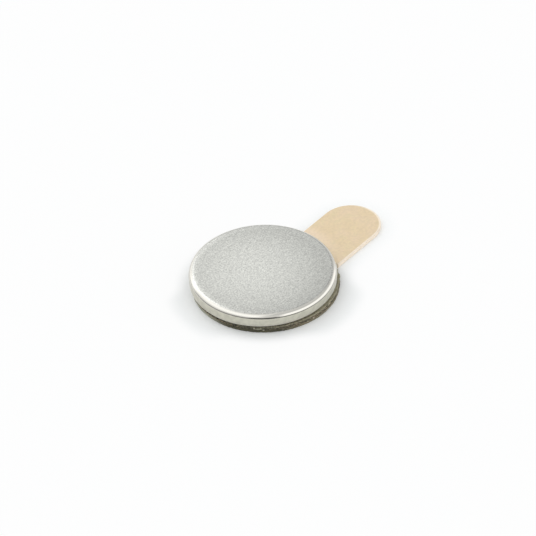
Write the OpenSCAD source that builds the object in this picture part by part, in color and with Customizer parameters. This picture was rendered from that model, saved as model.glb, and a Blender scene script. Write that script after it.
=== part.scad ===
// Self-adhesive disc magnet.
//
// A nickel-plated disc magnet stands on a thin round pad of double-sided tape. The pad's
// lower face is still covered by its release liner, a die-cut paper disc with a
// round-ended pull tab.
//
// The liner's underside lies on z = 0, the magnet's axis is the z axis, and the pull tab
// points along +x. All sizes are in millimetres.

/* [Magnet] */
// Outer diameter of the magnet
magnet_d = 10; // [9:0.1:20]
// Height of the magnet from pole face to pole face
magnet_h = 1.1; // [0.8:0.1:5]
// Radius of the tumbled edge between each pole face and the wall
edge_r = 0.38; // [0.1:0.01:0.39]

/* [Adhesive pad] */
// Thickness of the double-sided tape
pad_t = 0.2; // [0.1:0.05:1]
// How far the pad's rim is cut inside the magnet's rim
pad_inset = 0.05; // [0:0.05:0.5]
// Number of places where the cutting die tore the pad's rim
nick_count = 36; // [12:1:48]
// How deep the deepest of those nicks reaches into the rim
nick_depth = 0.07; // [0.03:0.01:0.12]

/* [Release liner] */
// Thickness of the siliconised paper
liner_t = 0.25; // [0.1:0.01:0.5]
// How far the liner's round part is cut outside the pad's rim
liner_margin = 0.05; // [0:0.05:0.5]
// How far the pad and its liner are stuck on off the magnet's axis, towards the tab
lay_shift = 0.2; // [0:0.05:0.4]
// How far they are stuck on off the axis sideways, towards the tab's centre line
lay_side = 0.05; // [0:0.05:0.4]

/* [Pull tab] */
// Width of the pull tab
tab_w = 4.15; // [2:0.05:4.6]
// How far the tab's round end reaches past the liner's rim
tab_out = 5.45; // [3:0.05:10]
// Sideways distance from the liner's centre to the tab's centre line
tab_side = 0.7; // [0:0.05:1.2]
// Radius in the inner corners between the tab and the liner's rim
tab_fillet = 0.3; // [0.1:0.05:0.5]

/* [Hidden] */

$fn = 128;

// Derived radii, and the heights at which the stacked pieces start.
pad_r = magnet_d / 2 - pad_inset;
liner_r = pad_r + liner_margin;
pad_z = liner_t;
magnet_z = pad_z + pad_t;

// Nicks: radius of the round bite that makes one, how much they differ in depth, how much
// they wander from an even spacing, and the seed of both.
bite_r = 0.35;
least_bite = 0.35;
bite_wander = 0.8;
bite_seed = 11;

// How far a corner arc dips into the liner's rim, so that the two curves cross cleanly.
corner_dip = 0.001;

// Half section of a disc with rounded rims, to be turned about the z axis.
module rounded_half_section(r, h, round_r) {
    square([r - round_r, h]);
    translate([0, round_r])
        square([r, h - 2 * round_r]);
    for (y = [round_r, h - round_r])
        translate([r - round_r, y])
            circle(r = round_r);
}

// The magnet: one solid of revolution with both edges tumbled round.
module magnet_disc() {
    color([0.77, 0.77, 0.75])
        translate([0, 0, magnet_z])
            rotate_extrude()
                rounded_half_section(magnet_d / 2, magnet_h, edge_r);
}

// Round bites along the pad's rim, each of its own depth.
module rim_bites() {
    depths = rands(least_bite, 1, nick_count, bite_seed);
    turns = rands(0, bite_wander, nick_count, bite_seed + 1);
    for (i = [0 : nick_count - 1])
        rotate((i + turns[i]) * 360 / nick_count)
            translate([pad_r + bite_r - depths[i] * nick_depth, 0])
                circle(r = bite_r, $fn = 48);
}

// The tape pad: a thin disc with the torn rim of die-cut tape.
module adhesive_pad() {
    color([0.30, 0.28, 0.22])
        translate([lay_shift, -lay_side, pad_z])
            linear_extrude(height = pad_t)
                difference() {
                    circle(r = pad_r);
                    rim_bites();
                }
}

// Outline of the pull tab, from the liner's centre out to its round end.
module tab_outline() {
    end_x = liner_r + tab_out - tab_w / 2;
    translate([0, -tab_side - tab_w / 2])
        square([end_x, tab_w]);
    translate([end_x, -tab_side])
        circle(d = tab_w);
}

// Rounded inner corner where one edge of the tab runs into the liner's rim.
// side is 1 for the tab's edge towards +y and -1 for the other edge. The arc's centre lies
// one fillet radius off the tab's edge and off the rim, so it meets both smoothly.
module inner_corner(side) {
    arc_y = side * (tab_w / 2 + tab_fillet) - tab_side;
    arc_x = sqrt(pow(liner_r + tab_fillet - corner_dip, 2) - pow(arc_y, 2));
    difference() {
        polygon([[0, 0], [arc_x, arc_y], [arc_x, -tab_side]]);
        translate([arc_x, arc_y])
            circle(r = tab_fillet);
    }
}

// The liner: one die-cut sheet, the round part with its pull tab.
module release_liner() {
    color([0.90, 0.83, 0.70])
        translate([lay_shift, -lay_side, 0])
            union() {
                cylinder(r = liner_r, h = liner_t);
                linear_extrude(height = liner_t)
                    tab_outline();
                for (side = [-1, 1])
                    linear_extrude(height = liner_t)
                        inner_corner(side);
            }
}

magnet_disc();
adhesive_pad();
release_liner();
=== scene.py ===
"""Looks of the self-adhesive disc magnet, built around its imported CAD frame.

Three pieces stand for the three CAD nodes: the plated disc with its tumbled edges, the
die-cut tape pad with its torn rim, and the paper release liner with its pull tab. Lengths
are metres in the part's frame: the liner's underside is z = 0, the magnet's axis is z and
the pull tab points along +x.
"""

import logging
import math
import random
from collections.abc import Callable, Iterator
from contextlib import contextmanager
from dataclasses import dataclass, field
from enum import Enum
from functools import cached_property, reduce

import bmesh
import bpy
from mathutils import Matrix, Vector


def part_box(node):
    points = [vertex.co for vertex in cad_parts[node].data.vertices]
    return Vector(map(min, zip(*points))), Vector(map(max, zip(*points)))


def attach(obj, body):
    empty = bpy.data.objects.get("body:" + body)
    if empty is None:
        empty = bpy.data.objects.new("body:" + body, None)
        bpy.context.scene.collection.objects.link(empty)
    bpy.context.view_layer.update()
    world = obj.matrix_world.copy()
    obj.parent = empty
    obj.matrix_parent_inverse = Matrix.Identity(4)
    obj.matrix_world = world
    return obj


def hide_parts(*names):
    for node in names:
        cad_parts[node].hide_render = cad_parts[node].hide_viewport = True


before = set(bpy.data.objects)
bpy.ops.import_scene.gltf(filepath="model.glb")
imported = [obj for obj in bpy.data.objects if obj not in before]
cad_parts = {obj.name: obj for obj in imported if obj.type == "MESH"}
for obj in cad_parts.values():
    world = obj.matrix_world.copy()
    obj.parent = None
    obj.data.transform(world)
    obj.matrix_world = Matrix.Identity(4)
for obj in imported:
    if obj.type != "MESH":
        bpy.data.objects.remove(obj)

MM = 0.001

# A range, as its two ends.
Span = tuple[float, float]

# Centre of the pad and of the liner's disc, which are stuck on a little off the axis.
LAY = Vector((0.20 * MM, -0.05 * MM, 0.0))

# Attribute that holds how pale a loose crumb is, and vertex group of a rough rim.
PALE = "pale"
RIM = "rim"

log = logging.getLogger("disc_magnet")


class SelectMode(Enum):
    """What edit mode selects, named as a mesh's own lists are."""

    VERTS = "VERT"
    EDGES = "EDGE"
    FACES = "FACE"


class BooleanKind(Enum):
    """How one solid changes another."""

    JOIN = "UNION"
    CUT = "DIFFERENCE"


class Shift(Enum):
    """Which way a rim's vertices are shifted: to both sides, or only inwards."""

    ALONG_X = "X"
    ALONG_Y = "Y"
    INWARDS = "NORMAL"


# ------------------------------------------- Bench: primitives, edit mode and modifiers

# Cosine from which a face counts as level and an edge as upright.
STRAIGHT = 0.99


def deselect_all() -> None:
    """Leaves nothing selected, so that an operator acts only on what is picked next."""
    if bpy.context.mode != "OBJECT":
        bpy.ops.object.mode_set(mode="OBJECT")
    bpy.ops.object.select_all(action="DESELECT")


def make_active(piece: bpy.types.Object) -> None:
    """Selects one object alone and makes it the active one.

    Args:
        piece: The object that the next operators work on.
    """
    deselect_all()
    piece.select_set(True)
    bpy.context.view_layer.objects.active = piece


def add_cylinder(
    name: str, radius: float, low: Vector, high: Vector, sides: int
) -> bpy.types.Object:
    """Adds an upright cylinder at its size and place.

    Args:
        name: Name of the new object and its mesh.
        radius: Radius of the wall.
        low: Centre of the lower face.
        high: Centre of the upper face, straight above the lower one.
        sides: Number of facets round the wall.

    Returns:
        The new object, at the origin, with its place in its mesh.
    """
    deselect_all()
    bpy.ops.mesh.primitive_cylinder_add(
        vertices=sides,
        radius=radius,
        depth=high.z - low.z,
        end_fill_type="NGON",
        location=(low + high) / 2,
    )
    return settle(name)


def settle(name: str) -> bpy.types.Object:
    """Names the active object and moves its place, turn and size into its mesh.

    Args:
        name: Name of the object and its mesh.

    Returns:
        The active object.
    """
    piece = bpy.context.active_object
    piece.name = name
    piece.data.name = name
    bpy.ops.object.transform_apply(location=True, rotation=True, scale=True)
    return piece


@contextmanager
def editing(piece: bpy.types.Object, mode: SelectMode) -> Iterator[None]:
    """Opens a piece in edit mode with nothing selected, and closes it again.

    Args:
        piece: The mesh object to shape.
        mode: Whether vertices, edges or faces are picked.

    Yields:
        Nothing. The operators inside act on the piece.
    """
    make_active(piece)
    bpy.ops.object.mode_set(mode="EDIT")
    bpy.ops.mesh.select_mode(type=mode.value)
    bpy.ops.mesh.select_all(action="DESELECT")
    yield
    bpy.ops.object.mode_set(mode="OBJECT")


def pick(piece: bpy.types.Object, mode: SelectMode, wanted: Callable[..., bool]) -> None:
    """Selects the vertices, edges or faces that pass a test, and no others.

    Args:
        piece: The object in edit mode.
        mode: Which of them are tested.
        wanted: Says of one of them whether it is picked.
    """
    bpy.ops.mesh.select_all(action="DESELECT")
    mesh = bmesh.from_edit_mesh(piece.data)
    for element in getattr(mesh, mode.name.lower()):
        if wanted(element):
            element.select_set(True)
    mesh.select_flush_mode()
    bmesh.update_edit_mesh(piece.data)


def is_level(face: bmesh.types.BMFace) -> bool:
    """Says whether a face lies flat, facing up or down."""
    return abs(face.normal.z) > STRAIGHT


def is_cap(face: bmesh.types.BMFace) -> bool:
    """Says whether a face is the many-sided end of a cylinder."""
    return len(face.verts) > 4


def is_upright_edge(edge: bmesh.types.BMEdge) -> bool:
    """Says whether an edge stands upright."""
    along = edge.verts[1].co - edge.verts[0].co
    return abs(along.z) > STRAIGHT * along.length


def is_outline_edge(edge: bmesh.types.BMEdge) -> bool:
    """Says whether an edge runs between a flat face and a wall."""
    return len(edge.link_faces) == 2 and sum(map(is_level, edge.link_faces)) == 1


def apply_modifiers(piece: bpy.types.Object) -> None:
    """Applies every modifier on a piece, in order.

    Args:
        piece: The object whose mesh takes the modifiers' result.
    """
    make_active(piece)
    for name in [modifier.name for modifier in piece.modifiers]:
        bpy.ops.object.modifier_apply(modifier=name)


def combine(piece: bpy.types.Object, tool: bpy.types.Object, kind: BooleanKind) -> None:
    """Joins another solid to a piece or cuts it out, and removes that other solid.

    Args:
        piece: The solid that stays.
        tool: The solid that is joined or cut out.
        kind: Which of the two is done.
    """
    modifier = piece.modifiers.new("combine", "BOOLEAN")
    modifier.operation = kind.value
    modifier.solver = "EXACT"
    modifier.object = tool
    apply_modifiers(piece)
    bpy.data.objects.remove(tool, do_unlink=True)


def smooth_by_angle(piece: bpy.types.Object, crease: float) -> None:
    """Shades a piece smooth, with creases from an angle in degrees upwards."""
    make_active(piece)
    bpy.ops.object.shade_smooth_by_angle(angle=math.radians(crease))


def round_outline(piece: bpy.types.Object, width: float, steps: int) -> None:
    """Rounds the edges between a piece's flat faces and its walls.

    Args:
        piece: The piece.
        width: Radius of the rounding.
        steps: Number of facets across it.
    """
    with editing(piece, SelectMode.EDGES):
        pick(piece, SelectMode.EDGES, is_outline_edge)
        bpy.ops.mesh.bevel(offset=width, segments=steps, profile=0.5, affect="EDGES")


def ring_ends(piece: bpy.types.Object, widths: tuple[float, ...]) -> None:
    """Divides a cylinder's end faces into rings round a fan of triangles.

    Args:
        piece: The cylinder.
        widths: Width of each ring, from the rim inwards.
    """
    with editing(piece, SelectMode.FACES):
        for width in widths:
            pick(piece, SelectMode.FACES, is_cap)
            bpy.ops.mesh.inset(thickness=width)
        pick(piece, SelectMode.FACES, is_cap)
        bpy.ops.mesh.poke()


# --------------------------------------------------------------------------- Node trees

Socket = bpy.types.NodeSocket
Colour = tuple[float, float, float]
Paint = Socket | Colour

# Middle of the magnet, straight up, and two level directions as the camera sees the part.
AXIS = Vector((0.0, 0.0, 0.0))
UP = Vector((0.0, 0.0, 1.0))
TO_RIGHT = Vector((0.647, -0.763, 0.0))
TO_BACK = Vector((0.763, 0.647, 0.0))

# Range of a share, range in which most of a noise texture's values lie, and how strong
# each of its finer layers is.
SHARE = (0.0, 1.0)
USUAL_NOISE = (0.3, 0.7)
NOISE_ROUGHNESS = 0.55


class NodeGraph:
    """A shader node tree with short calls for the nodes that the finishes share."""

    def __init__(self, tree: bpy.types.NodeTree) -> None:
        """Takes over the tree of a material or the world and empties it."""
        self.tree = tree
        tree.nodes.clear()

    @cached_property
    def place(self) -> Socket:
        """The place on the piece, in its own coordinates."""
        return self.add("ShaderNodeTexCoord").outputs["Object"]

    @cached_property
    def upward(self) -> Socket:
        """How far the surface faces up: 1 on a top, 0 on a wall and -1 below."""
        normal = self.add("ShaderNodeTexCoord").outputs["Normal"]
        return self.feed(self.add("ShaderNodeSeparateXYZ"), Vector=normal).outputs["Z"]

    @cached_property
    def paleness(self) -> Socket:
        """How pale the crumb is that a place lies on, 0 off the crumbs."""
        return self.add("ShaderNodeAttribute", attribute_name=PALE).outputs["Fac"]

    def add(self, kind: str, **settings: object) -> bpy.types.Node:
        """Adds a node and sets its properties.

        Args:
            kind: The node's type name.
            **settings: Property names and values of the node.

        Returns:
            The new node.
        """
        node = self.tree.nodes.new(kind)
        for name, value in settings.items():
            setattr(node, name, value)
        return node

    def feed(self, node: bpy.types.Node, **inputs: object) -> bpy.types.Node:
        """Links or sets a node's inputs.

        Args:
            node: The node whose inputs are filled.
            **inputs: Socket names, with underscores for spaces, or i0, i1 for a number.
                A socket is linked, a colour gets an alpha of 1, and anything else is set.

        Returns:
            The same node.
        """
        for name, value in inputs.items():
            numbered = name[0] == "i" and name[1:].isdigit()
            socket = node.inputs[int(name[1:]) if numbered else name.replace("_", " ")]
            if isinstance(value, bpy.types.NodeSocket):
                self.tree.links.new(value, socket)
            elif socket.type == "RGBA":
                socket.default_value = (*value, 1.0)
            else:
                socket.default_value = value
        return node

    def _operate(self, node: str, kind: str, values: tuple[object, ...]) -> bpy.types.Node:
        """Adds a math node of either type and fills its inputs in order."""
        inputs = {f"i{i}": value for i, value in enumerate(values)}
        return self.feed(self.add(node, operation=kind), **inputs)

    def math(self, kind: str, *values: Socket | float) -> Socket:
        """Adds a math node and returns its number."""
        return self._operate("ShaderNodeMath", kind, values).outputs["Value"]

    def vector(self, kind: str, *values: Socket | Vector | Colour) -> Socket:
        """Adds a vector math node and returns its vector."""
        return self._operate("ShaderNodeVectorMath", kind, values).outputs["Vector"]

    def measure(self, kind: str, *values: Socket | Vector) -> Socket:
        """Adds a vector math node and returns its number."""
        return self._operate("ShaderNodeVectorMath", kind, values).outputs["Value"]

    def times(self, *values: Socket | float) -> Socket:
        """Multiplies values, one after the other."""
        return reduce(lambda product, value: self.math("MULTIPLY", product, value), values)

    def rest(self, share: Socket) -> Socket:
        """Says what a share leaves of 1."""
        return self.math("SUBTRACT", 1.0, share)

    def ramp(self, value: Socket, start: float, end: float) -> Socket:
        """Makes a smooth step, from 0 at a start to 1 at an end above or below it."""
        node = self.add("ShaderNodeMapRange", interpolation_type="SMOOTHSTEP")
        return self.feed(node, Value=value, From_Min=start, From_Max=end).outputs[0]

    def rescale(self, value: Socket, span: Span, to: Span) -> Socket:
        """Maps a value from one range straight to another and stops at its ends."""
        ends = {"From_Min": span[0], "From_Max": span[1], "To_Min": to[0], "To_Max": to[1]}
        return self.feed(self.add("ShaderNodeMapRange"), Value=value, **ends).outputs[0]

    def noise(self, size: float, detail: float = 2.0) -> Socket:
        """Adds noise with lumps of a size in metres and a number of finer layers."""
        node = self.feed(self.add("ShaderNodeTexNoise"), Roughness=NOISE_ROUGHNESS)
        return self.feed(node, Vector=self.place, Scale=1 / size, Detail=detail).outputs[0]

    def clouds(self, size: float, tone: Span) -> Socket:
        """Adds noise whose usual values are mapped to a range."""
        return self.rescale(self.noise(size), USUAL_NOISE, tone)

    def blend(self, share: Socket, first: Paint, second: Paint) -> Socket:
        """Mixes two colours: a share of 0 gives the first and 1 the second."""
        node = self.add("ShaderNodeMix", data_type="RGBA")
        return self.feed(node, i0=share, i6=first, i7=second).outputs[2]

    def scale_colour(self, colour: Paint, factor: Socket) -> Socket:
        """Multiplies a colour by a factor."""
        node = self.add("ShaderNodeVectorMath", operation="SCALE")
        return self.feed(node, i0=colour, Scale=factor).outputs["Vector"]

    def mix(self, share: Socket, first: bpy.types.Node, second: bpy.types.Node) -> Socket:
        """Mixes two shaders: a share of 0 gives the first and 1 the second."""
        shaders = {"i1": first.outputs[0], "i2": second.outputs[0]}
        return self.feed(self.add("ShaderNodeMixShader"), i0=share, **shaders).outputs[0]

    def level_length(self, offset: Socket) -> Socket:
        """Measures how long an offset is, seen from above."""
        return self.measure("LENGTH", self.vector("MULTIPLY", offset, (1.0, 1.0, 0.0)))

    def off_axis(self, centre: Vector) -> Socket:
        """Measures how far the place lies from an upright axis through a point."""
        return self.level_length(self.vector("SUBTRACT", self.place, centre))

    def off_line(self, middle: Vector, half: float) -> Socket:
        """Measures how far the place lies from a level line that runs along x.

        Args:
            middle: The line's middle.
            half: Half of the line's length.

        Returns:
            The distance, measured level.
        """
        folded = self.vector("ABSOLUTE", self.vector("SUBTRACT", self.place, middle))
        past_end = self.vector("SUBTRACT", folded, (half, 0.0, 0.0))
        return self.level_length(self.vector("MAXIMUM", past_end, (0.0, 0.0, 0.0)))

    def reach(self, direction: Vector) -> Socket:
        """Measures how far the place lies from the origin, counted along a direction."""
        return self.measure("DOT_PRODUCT", self.place, direction)

    def bump(self, height: Socket, depth: float) -> Socket:
        """Makes a bumped normal, where a height of 1 stands for a depth in metres."""
        node = self.add("ShaderNodeBump")
        return self.feed(node, Strength=1.0, Distance=depth, Height=height).outputs[0]


def new_material(name: str) -> tuple[bpy.types.Material, NodeGraph, bpy.types.Node]:
    """Makes a material with a Principled shader joined to its output.

    Args:
        name: The material's name.

    Returns:
        The material, its graph and its Principled node.
    """
    material = bpy.data.materials.new(name)
    material.use_nodes = True
    graph = NodeGraph(material.node_tree)
    shader = graph.add("ShaderNodeBsdfPrincipled")
    graph.feed(graph.add("ShaderNodeOutputMaterial"), Surface=shader.outputs[0])
    return material, graph, shader


# ----------------------------------------------------------------------------- Finishes
#
# A span of lengths or slopes runs from where a change has not begun to where it is
# complete. A slope is the upward part of a surface's direction: 1 on a top, 0 on a wall.


@dataclass(frozen=True)
class HighlightMargin:
    """A stretch of the faces' margin with a painted highlight, brighter than the rest of
    the faces.
    """

    gain: float
    side: Vector
    rim: Span
    along: Span

    def added(self, graph: NodeGraph, out: Socket) -> Socket:
        """Works out what the margin adds to the faces' brightness, out from the axis."""
        along = graph.ramp(graph.reach(self.side), *self.along)
        return graph.times(graph.ramp(out, *self.rim), along, self.gain)


@dataclass(frozen=True)
class NickelPlating:
    """Bright nickel: grained faces and polished edges, with painted sheen, highlights and
    shade.
    """

    face: Colour = (0.738, 0.745, 0.705)
    edge: Colour = (0.760, 0.745, 0.690)
    # The wall's tone is painted shade: darker than the faces, for the shaded floor that the
    # wall mirrors.
    wall: Colour = (0.586, 0.577, 0.492)
    face_radius: float = 4.62 * MM
    polish: Span = (4.55 * MM, 4.72 * MM)
    edge_slope: Span = (0.992, 0.90)
    wall_slope: Span = (0.50, 0.20)
    roughness: Span = (0.44, 0.10)
    haze: float = 1.6 * MM
    haze_roughness: Span = (-0.02, 0.02)
    grain: float = 0.098 * MM
    grain_depth: float = 0.004 * MM
    grain_share: Span = (1.0, 0.12)
    grain_values: Span = (0.25, 0.75)
    grain_tone: Span = (0.68, 1.32)
    mottle: float = 0.26 * MM
    mottle_tone: Span = (0.94, 1.06)
    smudge: float = 0.33 * MM
    smudge_tone: Span = (0.90, 1.10)
    # Painted sheen: the faces are brightest at this spot and darker away from it, by up to
    # the falloff at the margin.
    sheen_spot: Vector = Vector((-0.61 * MM, 0.72 * MM, 0.0))
    sheen_falloff: float = 0.22
    # Painted highlights along the faces' margin, toward the camera's left and toward the
    # back.
    highlight_margins: tuple[HighlightMargin, ...] = (
        HighlightMargin(0.15, -TO_RIGHT, (4.24 * MM, 4.62 * MM), (1.6 * MM, 3.6 * MM)),
        HighlightMargin(
            0.10, Vector((0.905, 0.427, 0.0)), (4.12 * MM, 4.52 * MM), (-1.0 * MM, 2.5 * MM)
        ),
    )

    def material(self) -> bpy.types.Material:
        """Makes the plating's material.

        Returns:
            The material.
        """
        material, graph, shader = new_material("nickel_plating")
        out = graph.off_axis(AXIS)
        polished = graph.ramp(out, *self.polish)
        grain = graph.noise(self.grain, detail=3.0)
        slope = graph.math("ABSOLUTE", graph.upward)
        # Painted shade on the wall, picked out by the slope of the surface.
        wall = graph.scale_colour(self.wall, graph.clouds(self.smudge, self.smudge_tone))
        side = graph.blend(graph.ramp(slope, *self.wall_slope), self.edge, wall)
        face = self._face_tone(graph, out, grain)
        roughness = graph.rescale(polished, SHARE, self.roughness)
        haze = graph.clouds(self.haze, self.haze_roughness)
        grain_share = graph.rescale(polished, SHARE, self.grain_share)
        graph.feed(
            shader,
            Base_Color=graph.blend(graph.ramp(slope, *self.edge_slope), face, side),
            Metallic=1.0,
            Roughness=graph.math("ADD", roughness, haze),
            Normal=graph.bump(graph.times(grain, grain_share), self.grain_depth),
        )
        return material

    def _face_tone(self, graph: NodeGraph, out: Socket, grain: Socket) -> Socket:
        """Colours the pole faces: grain speckles, a painted sheen round a spot, painted
        highlights at the margin.

        Args:
            graph: The plating's graph.
            out: Distance from the magnet's axis.
            grain: The grain's noise.

        Returns:
            The faces' colour.
        """
        # Painted sheen, fading with the square of the distance from its spot.
        off_spot = graph.math("DIVIDE", graph.off_axis(self.sheen_spot), self.face_radius)
        tone = graph.rest(graph.times(graph.math("POWER", off_spot, 2.0), self.sheen_falloff))
        # The painted highlights raise the faces' brightness along their margin.
        gain = 1.0
        for margin in self.highlight_margins:
            gain = graph.math("ADD", gain, margin.added(graph, out))
        mottle = graph.clouds(self.mottle, self.mottle_tone)
        speckle = graph.rescale(grain, self.grain_values, self.grain_tone)
        return graph.scale_colour(self.face, graph.times(tone, gain, mottle, speckle))


@dataclass(frozen=True)
class TornTape:
    """Grey-brown double-sided tape with lighter crumbs, painted light toward the camera's
    right and painted shade at its foot.
    """

    dark: Colour = (0.042, 0.041, 0.025)
    light: Colour = (0.365, 0.338, 0.232)
    crumb: Colour = (0.62, 0.60, 0.46)
    # Painted light: the tape is lighter toward this side, where light falls on it.
    lit_side: Vector = Vector((0.38, -0.92, 0.0))
    lit_reach: Span = (0.5 * MM, 4.6 * MM)
    lit_share: Span = (0.14, 0.74)
    speck: float = 0.14 * MM
    speck_values: Span = (0.40, 0.62)
    speck_tone: Span = (-0.12, 0.32)
    speck_depth: float = 0.03 * MM
    # Painted shade: the tape darkens toward its foot, beside the paper and the floor.
    foot_shade_heights: Span = (0.28 * MM, 0.40 * MM)
    foot_shade: Span = (0.15, 1.0)
    roughness: float = 0.75

    def material(self) -> bpy.types.Material:
        """Makes the tape's material.

        Returns:
            The material.
        """
        material, graph, shader = new_material("tape")
        speck = graph.noise(self.speck, detail=3.0)
        # Painted light toward the lit side, plus random specks.
        speckled = graph.math(
            "ADD",
            graph.rescale(graph.reach(self.lit_side), self.lit_reach, self.lit_share),
            graph.rescale(speck, self.speck_values, self.speck_tone),
        )
        # Painted shade toward the tape's foot.
        foot_shade = graph.rescale(graph.reach(UP), self.foot_shade_heights, self.foot_shade)
        tape = graph.blend(graph.times(speckled, foot_shade), self.dark, self.light)
        graph.feed(
            shader,
            Base_Color=graph.blend(graph.paleness, tape, self.crumb),
            Roughness=self.roughness,
            Normal=graph.bump(speck, self.speck_depth),
        )
        return material


@dataclass(frozen=True)
class LinerOutline:
    """Outline of the liner as it lies on the table: a disc and a round-ended tab."""

    disc_radius: float = 5.0 * MM
    tab_middle: Vector = Vector((4.3875 * MM, -0.75 * MM, 0.0))
    tab_half: float = 4.1875 * MM
    tab_radius: float = 2.075 * MM

    def off_tab_line(self, graph: NodeGraph) -> Socket:
        """Measures how far the place lies from the tab's centre line."""
        return graph.off_line(self.tab_middle, self.tab_half)

    def beyond(self, graph: NodeGraph) -> Socket:
        """Measures how far the place lies outside the outline.

        Args:
            graph: The graph of a material.

        Returns:
            The distance, below 0 inside the outline.
        """
        past_disc = graph.math("SUBTRACT", graph.off_axis(LAY), self.disc_radius)
        past_tab = graph.math("SUBTRACT", self.off_tab_line(graph), self.tab_radius)
        return graph.math("MINIMUM", past_disc, past_tab)


@dataclass(frozen=True)
class LinerPaper:
    """Tan siliconised paper: cream with a painted highlight at the tab's cut, painted shade
    at the disc's cut.
    """

    tan: Colour = (0.775, 0.625, 0.412)
    rosy: Colour = (0.805, 0.640, 0.460)
    straw: Colour = (0.765, 0.645, 0.410)
    # Colour of the painted light on the paper beside the magnet.
    painted_glow: Colour = (0.880, 0.715, 0.530)
    # Cream of the tab's cut walls, the paper's own colour, and of the painted highlight
    # beside them.
    cream: Colour = (0.93, 0.82, 0.675)
    # Painted shadow on the ledge, painted shade on the disc's cut rim, and its tones to the
    # right and left.
    shade: Colour = (0.028, 0.027, 0.016)
    rim_shade: Colour = (0.060, 0.059, 0.033)
    right_rim_tone: Colour = (0.20, 0.175, 0.110)
    left_rim_tone: Colour = (0.33, 0.33, 0.26)
    fleck: Colour = (0.66, 0.63, 0.50)
    outline: LinerOutline = LinerOutline()
    cut_slope: Span = (0.97, 0.75)
    fibre: float = 0.20 * MM
    fibre_depth: float = 0.008 * MM
    fibre_values: Span = (0.35, 0.65)
    fibre_tone: Span = (0.95, 1.04)
    roughness: Span = (0.6, 0.8)
    cloud: float = 1.1 * MM
    cloud_values: Span = (0.42, 0.60)
    patch: float = 0.7 * MM
    patch_values: Span = (0.50, 0.66)
    tint: Span = (0.0, 0.5)
    # Painted light beside the magnet: where it lies, how far it reaches and how strong it
    # is.
    painted_glow_middle: Vector = Vector((1.08 * MM, 0.92 * MM, 0.0))
    painted_glow_radii: Span = (6.0 * MM, 5.05 * MM)
    painted_glow_reach: Span = (3.6 * MM, 5.0 * MM)
    painted_glow_share: Span = (0.95, 0.45)
    tab_start: Span = (5.02 * MM, 5.25 * MM)
    # Painted highlight: a pale band on the tab's top just inside its outline, on the side
    # toward -y.
    tab_line: Span = (1.905 * MM, 1.985 * MM)
    line_side: Vector = Vector((0.0, -1.0, 0.0))
    line_reach: Span = (-0.4 * MM, 0.8 * MM)
    # The paper's top just inside its rim takes the rim's tone, painted as shade under the
    # tape.
    rim_top: Span = (4.91 * MM, 4.95 * MM)
    right_rim_side: Vector = Vector((0.19, -0.98, 0.0))
    right_rim_reach: Span = (2.8 * MM, 4.6 * MM)
    right_rim_values: Span = (0.42, 0.60)
    right_rim_patches: Span = (-0.12, 0.20)
    left_rim_side: Vector = Vector((-0.77, 0.64, 0.0))
    left_rim_reach: Span = (3.1 * MM, 4.3 * MM)
    ledge_slope: Span = (0.20, 0.55)
    ledge_shade: float = 0.92

    def material(self) -> bpy.types.Material:
        """Makes the paper's material.

        Returns:
            The material.
        """
        material, graph, shader = new_material("liner_paper")
        out = graph.off_axis(LAY)
        fibre = graph.noise(self.fibre, detail=4.0)
        patch = graph.noise(self.patch)
        on_tab = graph.ramp(out, *self.tab_start)
        cut = graph.ramp(graph.math("ABSOLUTE", graph.upward), *self.cut_slope)
        disc_cut = graph.math("MAXIMUM", cut, graph.ramp(out, *self.rim_top))
        # The tab's cut walls and the painted highlight along them.
        tab_cut_and_highlight = graph.math("MAXIMUM", cut, self._tab_line(graph))
        cut_share = graph.math(
            "MAXIMUM",
            graph.times(disc_cut, graph.rest(on_tab)),
            graph.times(tab_cut_and_highlight, on_tab),
        )
        edge = graph.blend(on_tab, self._rim_tone(graph, patch), self.cream)
        tone = graph.blend(cut_share, self._face_tone(graph, patch), edge)
        fibre_tone = graph.rescale(fibre, self.fibre_values, self.fibre_tone)
        graph.feed(
            shader,
            Base_Color=graph.scale_colour(tone, fibre_tone),
            Roughness=graph.rescale(fibre, USUAL_NOISE, self.roughness),
            Normal=graph.bump(fibre, self.fibre_depth),
        )
        return material

    def _face_tone(self, graph: NodeGraph, patch: Socket) -> Socket:
        """Colours the flat paper: tan with rosy and straw clouds, with painted light beside
        the magnet.

        Args:
            graph: The paper's graph.
            patch: The patches' noise.

        Returns:
            The flat paper's colour.
        """
        cloud = graph.noise(self.cloud, detail=3.0)
        rosiness = graph.rescale(cloud, self.cloud_values, self.tint)
        strawness = graph.rescale(patch, self.patch_values, self.tint)
        face = graph.blend(rosiness, self.tan, self.rosy)
        face = graph.blend(strawness, face, self.straw)
        # Painted light: paler paper close to the magnet, fading toward the camera's right.
        near = graph.ramp(graph.off_axis(self.painted_glow_middle), *self.painted_glow_radii)
        fade = graph.rescale(graph.reach(TO_RIGHT), self.painted_glow_reach, self.painted_glow_share)
        return graph.blend(graph.times(near, fade), face, self.painted_glow)

    def _rim_tone(self, graph: NodeGraph, patch: Socket) -> Socket:
        """Colours the disc's cut rim: painted shade, browner toward the camera's right,
        greyer toward its left, with flecks.

        Args:
            graph: The paper's graph.
            patch: The patches' noise.

        Returns:
            The rim's colour.
        """
        right_rim_share = graph.math(
            "ADD",
            graph.ramp(graph.reach(self.right_rim_side), *self.right_rim_reach),
            graph.rescale(patch, self.right_rim_values, self.right_rim_patches),
        )
        rim = graph.blend(right_rim_share, self.rim_shade, self.right_rim_tone)
        left_rim_share = graph.ramp(graph.reach(self.left_rim_side), *self.left_rim_reach)
        rim = graph.blend(left_rim_share, rim, self.left_rim_tone)
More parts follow.
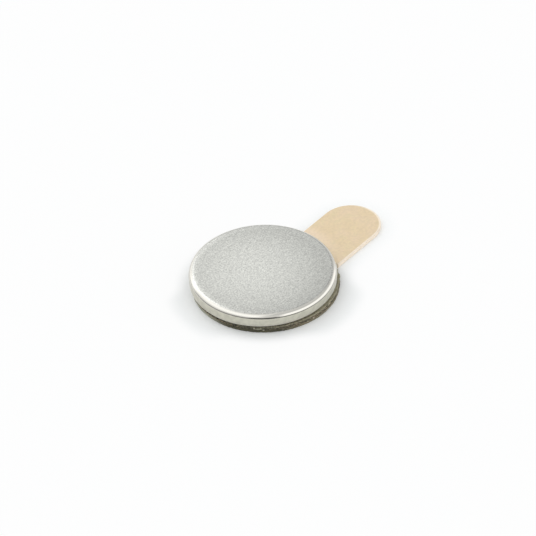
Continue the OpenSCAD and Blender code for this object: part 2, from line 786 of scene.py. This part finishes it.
        # Painted shadow: the ledge under the tape is nearly black, except toward the
        # camera's left.
        ledge = graph.times(graph.ramp(graph.upward, *self.ledge_slope), self.ledge_shade)
        rim = graph.blend(graph.times(ledge, graph.rest(left_rim_share)), rim, self.shade)
        return graph.blend(graph.paleness, rim, self.fleck)

    def _tab_line(self, graph: NodeGraph) -> Socket:
        """Marks a painted highlight: a pale band along the tab's outline, on its side
        toward -y only.
        """
        line = graph.ramp(self.outline.off_tab_line(graph), *self.tab_line)
        return graph.times(line, graph.ramp(graph.reach(self.line_side), *self.line_reach))


@dataclass(frozen=True)
class OpenSide:
    """A side on which the metal mirrors the floor further out."""

    side: Vector
    along: Span
    dimming: float

    def dimming_left(self, graph: NodeGraph) -> Socket:
        """Says how much of the floor's dimming is left at a place."""
        return graph.rescale(graph.reach(self.side), self.along, (1.0, self.dimming))


@dataclass(frozen=True)
class WhiteFloor:
    """Plain matt white paper: the metal mirrors it only close by, and far off it is white.

    The shadow that the camera sees is kept near the liner's outline, and reaches a little
    further on the flanks of the front half.
    """

    colour: Colour = (0.975, 0.975, 0.975)
    shaded: Colour = (0.957, 0.975, 0.979)
    white: Colour = (0.995, 0.995, 0.995)
    roughness: float = 0.9
    shine: float = 0.1
    outline: LinerOutline = LinerOutline()
    shadow_reach: Span = (0.2 * MM, 1.35 * MM)
    flank_reach: float = 0.8 * MM
    flank_sides: Span = (2.0 * MM, 4.5 * MM)
    flank_front: Span = (0.5 * MM, -1.5 * MM)
    whitened: float = 0.85
    mirrored_middle: Vector = Vector((-2.3 * MM, 2.7 * MM, 0.0))
    mirrored_radii: Span = (11.0 * MM, 14.0 * MM)
    dimmed: float = 0.88
    open_sides: tuple[OpenSide, ...] = (
        OpenSide(Vector((0.94, -0.34, 0.0)), (8.0 * MM, 11.0 * MM), 0.3),
        OpenSide(Vector((-0.94, 0.34, 0.0)), (10.0 * MM, 14.0 * MM), 0.74),
        OpenSide(TO_BACK, (8.0 * MM, 11.0 * MM), 0.3),
    )

    def material(self) -> bpy.types.Material:
        """Makes the floor's material.

        Returns:
            The material.
        """
        material, graph, shader = new_material("white_floor")
        rays = graph.add("ShaderNodeLightPath").outputs
        seen, mirrored = rays["Is Camera Ray"], rays["Is Glossy Ray"]
        far = graph.ramp(graph.off_axis(self.mirrored_middle), *self.mirrored_radii)
        left = [side.dimming_left(graph) for side in self.open_sides]
        dim = graph.times(far, *left, mirrored, self.dimmed)
        lit = graph.scale_colour(self.colour, graph.rest(dim))
        graph.feed(
            shader,
            Base_Color=graph.blend(seen, lit, self.shaded),
            Roughness=self.roughness,
            Specular_IOR_Level=self.shine,
        )
        plain = graph.feed(graph.add("ShaderNodeEmission"), Color=self.white)
        whiteness = graph.times(self._past_shadow(graph), seen, self.whitened)
        output = graph.tree.get_output_node("ALL")
        graph.feed(output, Surface=graph.mix(whiteness, shader, plain))
        return material

    def _past_shadow(self, graph: NodeGraph) -> Socket:
        """Marks the floor that lies beyond the shadow.

        Args:
            graph: The floor's graph.

        Returns:
            0 in the shadow and 1 beyond it.
        """
        sideways = graph.math("ABSOLUTE", graph.reach(TO_RIGHT))
        flank = graph.times(
            graph.ramp(sideways, *self.flank_sides),
            graph.ramp(graph.reach(TO_BACK), *self.flank_front),
            self.flank_reach,
        )
        beyond = graph.math("SUBTRACT", self.outline.beyond(graph), flank)
        return graph.ramp(beyond, *self.shadow_reach)


# ------------------------------------------------------------------------------- Pieces


class Component:
    """What the three components share: a CAD node, a material slot and a finish."""

    node: str
    slot: str
    finish: NickelPlating | TornTape | LinerPaper

    def dress(self, piece: bpy.types.Object) -> None:
        """Gives a finished piece its material and its body, and hides the CAD node that it
        stands for.

        Args:
            piece: The finished piece.
        """
        node, slot = self.node, self.slot
        piece.data.materials.clear()
        piece.data.materials.append(self.finish.material())
        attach(piece, "root")
        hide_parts(node)


@dataclass
class DiscMagnet(Component):
    """The plated disc: flat pole faces, an upright wall and tumbled round edges."""

    node: str = "magnet_disc"
    slot: str = "nickel_plating"
    edge_radius: float = 0.38 * MM
    sides: int = 384
    edge_steps: int = 16
    face_rings: tuple[float, ...] = (0.02 * MM, 0.4 * MM, 1.2 * MM, 1.2 * MM)
    crease: float = 40.0
    finish: NickelPlating = field(default_factory=NickelPlating)

    def build(self) -> bpy.types.Object:
        """Models the disc from a cylinder whose two rims are rounded.

        Returns:
            The finished piece.
        """
        low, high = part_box(self.node)
        radius = min(high.x, -low.x)
        disc = add_cylinder("nickel_disc", radius, low.z * UP, high.z * UP, self.sides)
        round_outline(disc, self.edge_radius, self.edge_steps)
        ring_ends(disc, self.face_rings)
        smooth_by_angle(disc, self.crease)
        return disc


@dataclass(frozen=True)
class Crumb:
    """A loose bit of tape that sticks to a torn rim.

    It lies at an angle round the rim in degrees, at a rise from 0 at the rim's foot to 1 at
    its top, and sinks in from the rim's radius. Its size is given outwards, along the rim
    and upwards, as half lengths.
    """

    angle: float
    rise: float
    sink: float
    size: Vector
    pale: float

    def model(self, radius: float, low: float, high: float) -> bpy.types.Object:
        """Models the crumb at its place in a rim round the pad's centre.

        Args:
            radius: The rim's radius.
            low: Height of its lower edge.
            high: Height of its upper edge.

        Returns:
            The crumb, as an object of its own.
        """
        angle = math.radians(self.angle)
        thick = self.size.z
        height = min(max(low + self.rise * (high - low), low + thick), high - thick)
        out = radius - self.sink
        x, y = LAY.x + out * math.cos(angle), LAY.y + out * math.sin(angle)
        deselect_all()
        bpy.ops.mesh.primitive_ico_sphere_add(
            subdivisions=2, radius=1.0, location=(x, y, height)
        )
        bpy.context.active_object.scale = self.size
        bpy.context.active_object.rotation_euler = (0.0, 0.0, angle)
        bit = settle("crumb")
        pale = bit.data.attributes.new(PALE, "FLOAT", "POINT")
        pale.data.foreach_set("value", [self.pale] * len(bit.data.vertices))
        return bit


def mark_rim(piece: bpy.types.Object, radii: Span) -> None:
    """Puts the vertices of a piece's rim in a group, for it to be roughened.

    Args:
        piece: The piece.
        radii: Range of the rim's distance from the pad's centre.
    """
    rim = piece.vertex_groups.new(name=RIM)
    for vert in piece.data.vertices:
        if radii[0] < (vert.co - LAY).xy.length < radii[1]:
            rim.add([vert.index], 1.0, "REPLACE")


def roughen(piece: bpy.types.Object, shift: Shift, lump: float, depth: float) -> None:
    """Adds a noisy shift of the vertices of a piece's rim.

    Args:
        piece: The piece.
        shift: Which way they are shifted.
        lump: Size of the noise.
        depth: The widest shift.
    """
    noise = bpy.data.textures.new("roughness", "CLOUDS")
    noise.noise_scale = lump
    noise.noise_depth = 1
    rough = piece.modifiers.new("roughen", "DISPLACE")
    rough.texture = noise
    rough.texture_coords = "LOCAL"
    rough.direction = shift.value
    rough.mid_level = 1.0 if shift is Shift.INWARDS else 0.5
    rough.strength = depth
    rough.vertex_group = RIM


def join_crumbs(piece: bpy.types.Object, crumbs: list[bpy.types.Object]) -> None:
    """Makes crumbs part of the piece that they stick to.

    Args:
        piece: The piece.
        crumbs: Its crumbs.
    """
    make_active(piece)
    for crumb in crumbs:
        crumb.select_set(True)
    bpy.ops.object.join()


@dataclass
class AdhesivePad(Component):
    """The tape pad: a thin disc whose die-cut rim is torn and crumbly.

    The plain pad is trimmed a little, because its tears reach outwards as well. A tear is a
    direction, the size of its lumps and its depth.
    """

    node: str = "adhesive_pad"
    slot: str = "tape"
    sides: int = 560
    rows: int = 4
    trim: float = 0.02 * MM
    fringe: float = 0.25 * MM
    inner_ring: float = 2.0 * MM
    crease: float = 60.0
    tears: tuple[tuple[Shift, float, float], ...] = (
        (Shift.ALONG_X, 0.42 * MM, 0.099 * MM),
        (Shift.ALONG_Y, 0.38 * MM, 0.099 * MM),
        (Shift.ALONG_X, 0.13 * MM, 0.077 * MM),
        (Shift.ALONG_Y, 0.12 * MM, 0.077 * MM),
    )
    crumbs: int = 120
    seed: int = 7
    crumb_size: Span = (0.022 * MM, 0.055 * MM)
    crumb_stretch: tuple[Span, Span, Span] = ((0.7, 1.2), (0.8, 2.4), (0.6, 1.0))
    crumb_angle: Span = (-180.0, 180.0)
    crumb_rise: Span = (0.1, 0.9)
    crumb_sink: Span = (0.0, 0.06 * MM)
    crumb_pales: tuple[float, ...] = (0.0, 0.0, 0.0, 0.06, 0.2)
    nibs: tuple[Crumb, ...] = (
        Crumb(-147.2, 0.10, -0.02 * MM, Vector((0.06, 0.20, 0.05)) * MM, 0.40),
        Crumb(-150.2, 0.40, 0.00 * MM, Vector((0.06, 0.07, 0.07)) * MM, 0.55),
        Crumb(-145.2, 0.50, 0.00 * MM, Vector((0.06, 0.06, 0.06)) * MM, 0.45),
        Crumb(-64.0, 0.55, 0.01 * MM, Vector((0.06, 0.13, 0.08)) * MM, 0.0),
        Crumb(-83.0, 0.60, 0.02 * MM, Vector((0.07, 0.16, 0.08)) * MM, 0.1),
        Crumb(-47.0, 0.55, -0.01 * MM, Vector((0.08, 0.24, 0.09)) * MM, 0.15),
        Crumb(-53.5, 0.40, 0.01 * MM, Vector((0.07, 0.15, 0.07)) * MM, 0.0),
    )
    finish: TornTape = field(default_factory=TornTape)

    def build(self) -> bpy.types.Object:
        """Models the pad from a cylinder, tears its rim and sticks crumbs to it.

        Returns:
            The finished piece.
        """
        low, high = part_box(self.node)
        radius = (high.y - low.y) / 2
        foot, top = LAY + low.z * UP, LAY + high.z * UP
        pad = add_cylinder("tape_pad", radius - self.trim, foot, top, self.sides)
        ring_ends(pad, (self.fringe, self.inner_ring))
        with editing(pad, SelectMode.EDGES):
            pick(pad, SelectMode.EDGES, is_upright_edge)
            bpy.ops.mesh.subdivide(number_cuts=self.rows - 1)
        mark_rim(pad, (radius - self.fringe / 2, radius))
        for shift, lump, depth in self.tears:
            roughen(pad, shift, lump, depth)
        apply_modifiers(pad)
        crumbs = (*self.nibs, *self._loose_crumbs())
        join_crumbs(pad, [crumb.model(radius, low.z, high.z) for crumb in crumbs])
        smooth_by_angle(pad, self.crease)
        return pad

    def _loose_crumbs(self) -> Iterator[Crumb]:
        """Draws the small crumbs that hang anywhere in the torn rim.

        Yields:
            One crumb after the other.
        """
        draw = random.Random(self.seed)
        for _ in range(self.crumbs):
            size = draw.uniform(*self.crumb_size)
            stretch = Vector([draw.uniform(*span) for span in self.crumb_stretch])
            yield Crumb(
                draw.uniform(*self.crumb_angle),
                draw.uniform(*self.crumb_rise),
                draw.uniform(*self.crumb_sink),
                size * stretch,
                draw.choice(self.crumb_pales),
            )


@dataclass
class ReleaseLiner(Component):
    """The paper liner: one die-cut sheet, a disc with a round-ended pull tab.

    The corner is the radius between the two. Slack is what a place may be past a limit,
    and vertices closer than the weld are merged.
    """

    node: str = "release_liner"
    slot: str = "liner_paper"
    tab_width: float = 4.15 * MM
    tab_side: float = 0.70 * MM
    corner: float = 0.30 * MM
    sides: int = 560
    corner_sides: int = 96
    slack: float = 0.005 * MM
    weld: float = 0.002 * MM
    flat_angle: float = 0.05
    soft_edge: float = 0.035 * MM
    edge_steps: int = 3
    fray: float = 0.05 * MM
    fray_lump: float = 0.16 * MM
    crease: float = 35.0
    flecks: tuple[Crumb, ...] = (
        Crumb(-107.0, 0.75, 0.045 * MM, Vector((0.045, 0.05, 0.035)) * MM, 1.0),
        Crumb(-101.2, 0.80, 0.045 * MM, Vector((0.045, 0.06, 0.035)) * MM, 1.0),
        Crumb(-143.0, 0.85, 0.050 * MM, Vector((0.050, 0.08, 0.035)) * MM, 0.6),
        Crumb(-128.0, 0.70, 0.050 * MM, Vector((0.045, 0.06, 0.035)) * MM, 0.4),
    )
    finish: LinerPaper = field(default_factory=LinerPaper)

    def build(self) -> bpy.types.Object:
        """Models the sheet from two cylinders, one of them stretched to the tab.

        Returns:
            The finished piece.
        """
        low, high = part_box(self.node)
        radius = LAY.y - low.y
        foot, top = LAY + low.z * UP, LAY + high.z * UP
        sheet = add_cylinder("liner_sheet", radius, foot, top, self.sides)
        end = Vector((high.x - self.tab_width / 2 - LAY.x, -self.tab_side, 0))
        tab = add_cylinder("tab", self.tab_width / 2, foot + end, top + end, self.sides)
        end_x = (foot + end).x
        with editing(tab, SelectMode.VERTS):
            pick(tab, SelectMode.VERTS, lambda vert: vert.co.x < end_x - self.slack)
            bpy.ops.transform.translate(value=(-end.x, 0, 0))
        combine(sheet, tab, BooleanKind.JOIN)
        for turn in (-1, 1):
            combine(sheet, self._corner_web(turn, radius, foot, top), BooleanKind.JOIN)
        with editing(sheet, SelectMode.EDGES):
            bpy.ops.mesh.select_all(action="SELECT")
            bpy.ops.mesh.remove_doubles(threshold=self.weld)
            bpy.ops.mesh.select_all(action="SELECT")
            bpy.ops.mesh.dissolve_limited(angle_limit=math.radians(self.flat_angle))
        round_outline(sheet, self.soft_edge, self.edge_steps)
        mark_rim(sheet, (radius - 2 * self.soft_edge, radius + self.slack))
        roughen(sheet, Shift.INWARDS, self.fray_lump, self.fray)
        apply_modifiers(sheet)
        join_crumbs(sheet, [fleck.model(radius, low.z, high.z) for fleck in self.flecks])
        smooth_by_angle(sheet, self.crease)
        return sheet

    def _corner_web(
        self, turn: int, radius: float, foot: Vector, top: Vector
    ) -> bpy.types.Object:
        """Makes the small web that rounds one inner corner between disc and tab.

        Args:
            turn: 1 for the tab's edge towards +y and -1 for the other edge.
            radius: Radius of the disc.
            foot: Centre of the disc's lower face.
            top: Centre of its upper face.

        Returns:
            The web, as a solid of the sheet's thickness.
        """
        arc_y = turn * (self.tab_width / 2 + self.corner) - self.tab_side
        arc_x = math.sqrt((radius + self.corner) ** 2 - arc_y**2)
        arc = Vector((arc_x, arc_y, 0))
        inset = Vector((self.corner, turn * self.corner, 0))
        deselect_all()
        bpy.ops.mesh.primitive_cube_add(size=1.0, location=arc - inset + (foot + top) / 2)
        bpy.context.active_object.scale = (2 * self.corner, 2 * self.corner, top.z - foot.z)
        web = settle("corner_web")
        away = Vector((-turn * arc.y, turn * arc.x, 0)).normalized()
        with editing(web, SelectMode.FACES):
            bpy.ops.mesh.select_all(action="SELECT")
            bpy.ops.mesh.bisect(
                plane_co=foot, plane_no=away, clear_outer=True, use_fill=True
            )
        lift = self.corner * UP
        scoop = add_cylinder(
            "scoop", self.corner, foot + arc - lift, top + arc + lift, self.corner_sides
        )
        combine(web, scoop, BooleanKind.CUT)
        return web


# ------------------------------------------------------------------------------- Studio


@dataclass(frozen=True)
class ViewPoint:
    """Where the camera stands, as angles from the part and lengths in the part's frame."""

    azimuth: float = 310.3
    elevation: float = 39.0
    roll: float = -2.5
    distance: float = 300 * MM
    field_width: float = 36.02 * MM
    aim_right: float = 0.319 * MM
    aim_up: float = 0.904 * MM
    sensor: float = 36.0
    clip: Span = (10 * MM, 10.0)

    def place(self, anchor: Vector) -> None:
        """Sets up the camera.

        Args:
            anchor: The point on the magnet's axis that the aim is counted from.
        """
        a, e, roll = (math.radians(v) for v in (self.azimuth, self.elevation, self.roll))
        back = Vector((math.sin(a) * math.cos(e), -math.cos(a) * math.cos(e), math.sin(e)))
        level = Vector((math.cos(a), math.sin(a), 0))
        rise = back.cross(level)
        right = math.cos(roll) * level + math.sin(roll) * rise
        up = math.cos(roll) * rise - math.sin(roll) * level
        target = anchor + self.aim_right * right + self.aim_up * up
        data = bpy.data.cameras.new("camera")
        data.sensor_width = self.sensor
        data.lens = self.sensor * self.distance / self.field_width
        data.clip_start, data.clip_end = self.clip
        camera = bpy.data.objects.new("camera", data)
        bpy.context.scene.collection.objects.link(camera)
        axes = Matrix((right, up, back)).transposed().to_4x4()
        camera.matrix_world = Matrix.Translation(target + self.distance * back) @ axes
        bpy.context.scene.camera = camera


@dataclass(frozen=True)
class Softbox:
    """A bright window in the light tent, or a dark one where its level is below 0.

    Its sides are in degrees round from straight behind the part, its heights in degrees
    above the horizon.
    """

    start: float
    end: float
    low: float
    high: float
    level: float
    fade: float = 8.0
    low_fade: float = 8.0

    def add_to(self, graph: NodeGraph, azimuth: Socket, elevation: Socket) -> Socket:
        """Works out how much light the window adds in each direction.

        Args:
            graph: The world's graph.
            azimuth: Direction round the part, in degrees.
            elevation: Height above the horizon, in degrees.

        Returns:
            The added light.
        """
        half, low_half = self.fade / 2, self.low_fade / 2
        return graph.times(
            graph.ramp(azimuth, self.start - half, self.start + half),
            graph.ramp(azimuth, self.end + half, self.end - half),
            graph.ramp(elevation, self.low - low_half, self.low + low_half),
            graph.ramp(elevation, self.high + half, self.high - half),
            self.level,
        )


@dataclass(frozen=True)
class LightTent:
    """Soft light from all round: a pale tent with wide softboxes and a dim horizon.

    The tent leans a little, so that its horizon stands higher opposite the pull tab. The
    camera sees a plain white backdrop in its place.
    """

    azimuth: float = 310.3
    lean: float = 12.0
    sky: Colour = (0.765, 0.765, 0.765)
    backdrop: Colour = (0.995, 0.995, 0.995)
    horizon: Span = (5.0, -8.0)
    horizon_dim: float = 0.65
    softboxes: tuple[Softbox, ...] = (
        Softbox(-168.0, -44.0, 18.0, 62.0, 0.70, 24.0, 32.0),
        Softbox(38.0, 160.0, 4.0, 41.0, 0.69, 16.0, 14.0),
        Softbox(-54.0, -16.0, 34.0, 60.0, 0.85, 16.0, 14.0),
        Softbox(-66.0, -22.0, -4.0, 28.0, 0.55, 16.0, 12.0),
        Softbox(30.0, 200.0, 48.0, 90.0, -0.19, 20.0, 16.0),
        Softbox(-200.0, 200.0, 60.0, 95.0, 0.12, 20.0),
        Softbox(-162.0, -116.0, -6.0, 13.0, -0.14, 20.0),
        Softbox(-200.0, -160.0, -20.0, 12.0, -0.60, 14.0),
        Softbox(162.0, 200.0, -20.0, 12.0, -0.75, 14.0),
    )

    def light(self) -> None:
        """Fills the world with the tent."""
        world = bpy.data.worlds.new("light_tent")
        bpy.context.scene.world = world
        world.use_nodes = True
        graph = NodeGraph(world.node_tree)
        ray = graph.add("ShaderNodeTexCoord").outputs["Generated"]
        for axis, angle in (("Y_AXIS", self.lean), ("Z_AXIS", self.azimuth)):
            turn = graph.add("ShaderNodeVectorRotate", rotation_type=axis)
            ray = graph.feed(turn, Vector=ray, Angle=-math.radians(angle)).outputs[0]
        x, y, z = graph.feed(graph.add("ShaderNodeSeparateXYZ"), Vector=ray).outputs
        azimuth = graph.math("DEGREES", graph.math("ARCTAN2", x, y))
        elevation = graph.math("DEGREES", graph.math("ARCSINE", z))
        low = graph.ramp(elevation, *self.horizon)
        total = graph.rest(graph.times(low, self.horizon_dim))
        for softbox in self.softboxes:
            total = graph.math("ADD", total, softbox.add_to(graph, azimuth, elevation))
        total = graph.math("MAXIMUM", total, 0.0)
        tent = graph.feed(graph.add("ShaderNodeBackground"), Color=self.sky, Strength=total)
        backdrop = graph.feed(graph.add("ShaderNodeBackground"), Color=self.backdrop)
        seen = graph.add("ShaderNodeLightPath").outputs["Is Camera Ray"]
        output = graph.add("ShaderNodeOutputWorld")
        graph.feed(output, Surface=graph.mix(seen, tent, backdrop))


@dataclass
class Studio:
    """The floor, the light and the camera."""

    floor_size: float = 1.6
    view: ViewPoint = field(default_factory=ViewPoint)
    tent: LightTent = field(default_factory=LightTent)
    floor: WhiteFloor = field(default_factory=WhiteFloor)

    def set_up(self) -> None:
        """Lays the floor under the part, lights it and places the camera."""
        deselect_all()
        bpy.ops.mesh.primitive_plane_add(size=self.floor_size)
        floor = settle("studio_floor")
        floor.data.materials.append(self.floor.material())
        self.tent.light()
        self.view.place(Vector((0, 0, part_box("magnet_disc")[0].z)))
        bpy.context.scene.view_settings.view_transform = "Standard"


# ----------------------------------------------------------------------- The whole part


def report(piece: bpy.types.Object) -> None:
    """Logs a piece's name, its triangles and its box in millimetres.

    Args:
        piece: The finished piece.
    """
    triangles = sum(len(face.vertices) - 2 for face in piece.data.polygons)
    columns = list(zip(*(vert.co / MM for vert in piece.data.vertices)))
    low, high = ([round(end(column), 3) for column in columns] for end in (min, max))
    log.info("%s: %d triangles, from %s to %s mm", piece.name, triangles, low, high)


def main() -> None:
    """Builds the pieces in order, logs each one's size and sets up the studio."""
    logging.basicConfig(level=logging.INFO, format="%(name)s %(message)s")
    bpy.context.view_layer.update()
    for part in (DiscMagnet(), AdhesivePad(), ReleaseLiner()):
        piece = part.build()
        part.dress(piece)
        report(piece)
    Studio().set_up()


if __name__ == "__main__":
    main()
